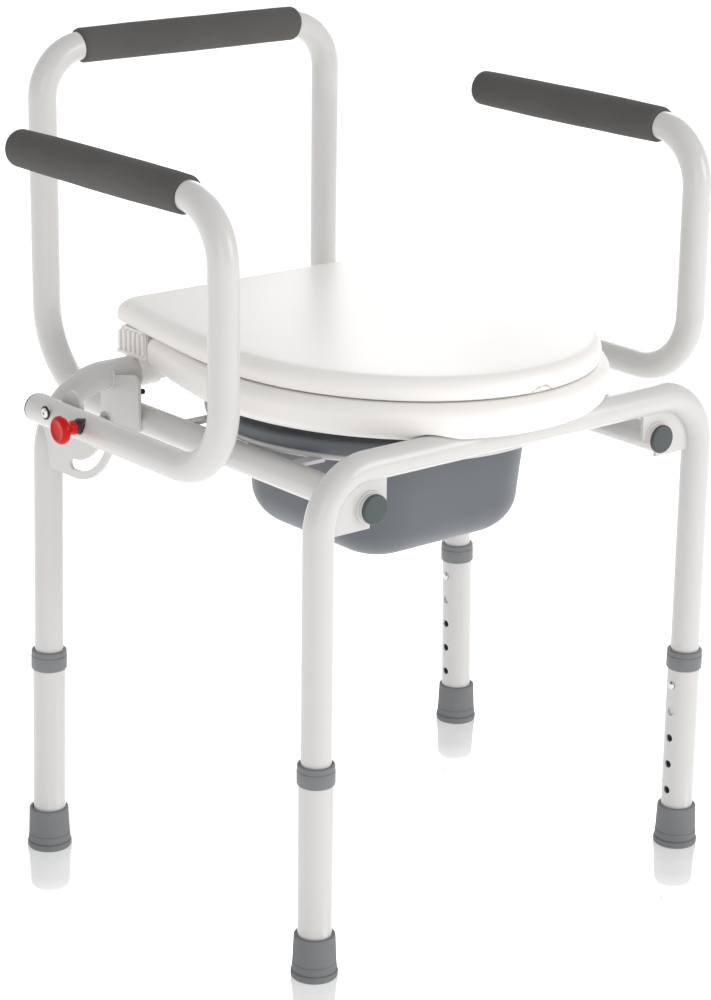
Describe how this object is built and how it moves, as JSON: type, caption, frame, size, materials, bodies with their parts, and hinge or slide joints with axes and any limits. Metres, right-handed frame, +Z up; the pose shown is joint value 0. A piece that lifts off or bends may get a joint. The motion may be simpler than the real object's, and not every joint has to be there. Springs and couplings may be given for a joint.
{
  "type": "commode chair",
  "caption": "Bedside commode chair with a tubular steel frame, telescopic legs, drop arms, hinged seat and lid, and a lift-out pail.",
  "frame": {"origin": "centre of the bounding box, at floor level", "axes": "+X to the right as seen from the front, +Y to the back, +Z up"},
  "size_m": [0.5858, 0.5088, 0.7135],
  "materials": {
    "white_paint": "gloss powder coat",
    "foam": "matte closed-cell foam",
    "collar_plastic": "satin",
    "foot_rubber": "matte",
    "cap_plastic": "satin",
    "seat_plastic": "soft gloss",
    "pail_plastic": "satin",
    "knob_plastic": "gloss",
    "black_plastic": "satin",
    "black_steel": "black oxide",
    "bright_steel": "polished",
    "plain_steel": "zinc plated"
  },
  "bodies": {
    "frame": {"front_frame": "white_paint", "rear_frame": "white_paint", "back_frame": "white_paint", "front_gussets": "white_paint", "saddle_brackets": "white_paint", "bracket_screws": "black_steel", "latch_plates": "white_paint", "pail_hoop": "white_paint", "rail_end_caps": "cap_plastic", "back_grip": "foam", "hinge_blocks": "seat_plastic", "clip_front_left": "bright_steel", "clip_front_right": "bright_steel", "clip_rear_left": "bright_steel", "clip_rear_right": "bright_steel"},
    "seat": {"seat_ring": "seat_plastic", "seat_bumpers": "foot_rubber", "hinge_pins": "plain_steel"},
    "lid_flap": {"lid": "seat_plastic", "lid_bumpers": "foot_rubber"},
    "pail_bucket": {"pail": "pail_plastic"},
    "armrest_left": {"arm_left": "white_paint", "arm_grip_left": "foam", "arm_cap_left": "cap_plastic", "arm_pivot_left": "black_steel", "lock_housing_left": "black_plastic", "lock_spring_left": "plain_steel"},
    "lock_left": {"lock_knob_left": "knob_plastic"},
    "armrest_right": {"arm_right": "white_paint", "arm_grip_right": "foam", "arm_cap_right": "cap_plastic", "arm_pivot_right": "black_steel", "lock_housing_right": "black_plastic", "lock_spring_right": "plain_steel"},
    "lock_right": {"lock_knob_right": "knob_plastic"},
    "leg_unit_front_left": {"leg_front_left": "white_paint", "collar_front_left": "collar_plastic", "foot_front_left": "foot_rubber"},
    "leg_unit_front_right": {"leg_front_right": "white_paint", "collar_front_right": "collar_plastic", "foot_front_right": "foot_rubber"},
    "leg_unit_rear_left": {"leg_rear_left": "white_paint", "collar_rear_left": "collar_plastic", "foot_rear_left": "foot_rubber"},
    "leg_unit_rear_right": {"leg_rear_right": "white_paint", "collar_rear_right": "collar_plastic", "foot_rear_right": "foot_rubber"}
  },
  "joints": [
    {"name": "arm_drop_left", "type": "hinge", "parent": "frame", "child": "armrest_left", "pos_m": [-0.2584, 0.07305, 0.4235], "axis": [1, 0, 0], "range_deg": [0, 90]},
    {"name": "lock_pull_left", "type": "slide", "parent": "armrest_left", "child": "lock_left", "axis": [-1, 0, 0], "range_m": [0, 0.008], "stiffness_N_per_m": 500, "springref_m": -0.01, "deforming": ["lock_spring_left"]},
    {"name": "arm_drop_right", "type": "hinge", "parent": "frame", "child": "armrest_right", "pos_m": [0.2584, 0.07305, 0.4235], "axis": [1, 0, 0], "range_deg": [0, 90]},
    {"name": "lock_pull_right", "type": "slide", "parent": "armrest_right", "child": "lock_right", "axis": [1, 0, 0], "range_m": [0, 0.008], "stiffness_N_per_m": 500, "springref_m": -0.01, "deforming": ["lock_spring_right"]},
    {"name": "leg_height_front_left", "type": "slide", "parent": "frame", "child": "leg_unit_front_left", "axis": [0, 0, 1], "range_m": [0, 0.1016], "deforming": ["clip_front_left"]},
    {"name": "leg_height_front_right", "type": "slide", "parent": "frame", "child": "leg_unit_front_right", "axis": [0, 0, 1], "range_m": [0, 0.1016], "deforming": ["clip_front_right"]},
    {"name": "leg_height_rear_left", "type": "slide", "parent": "frame", "child": "leg_unit_rear_left", "axis": [0.0209, 0, 0.9998], "range_m": [0, 0.1016], "deforming": ["clip_rear_left"]},
    {"name": "leg_height_rear_right", "type": "slide", "parent": "frame", "child": "leg_unit_rear_right", "axis": [-0.0209, 0, 0.9998], "range_m": [0, 0.1016], "deforming": ["clip_rear_right"]},
    {"name": "seat_hinge", "type": "hinge", "parent": "frame", "child": "seat", "pos_m": [0, 0.13555, 0.4567], "axis": [-1, 0, 0], "range_deg": [0, 100]},
    {"name": "lid_hinge", "type": "hinge", "parent": "seat", "child": "lid_flap", "pos_m": [0, 0.13555, 0.4567], "axis": [1, 0, 0], "range_deg": [-102, 0]},
    {"name": "pail_lift", "type": "slide", "parent": "frame", "child": "pail_bucket", "axis": [0, 0, 1], "range_m": [0, 0.012]}
  ]
}
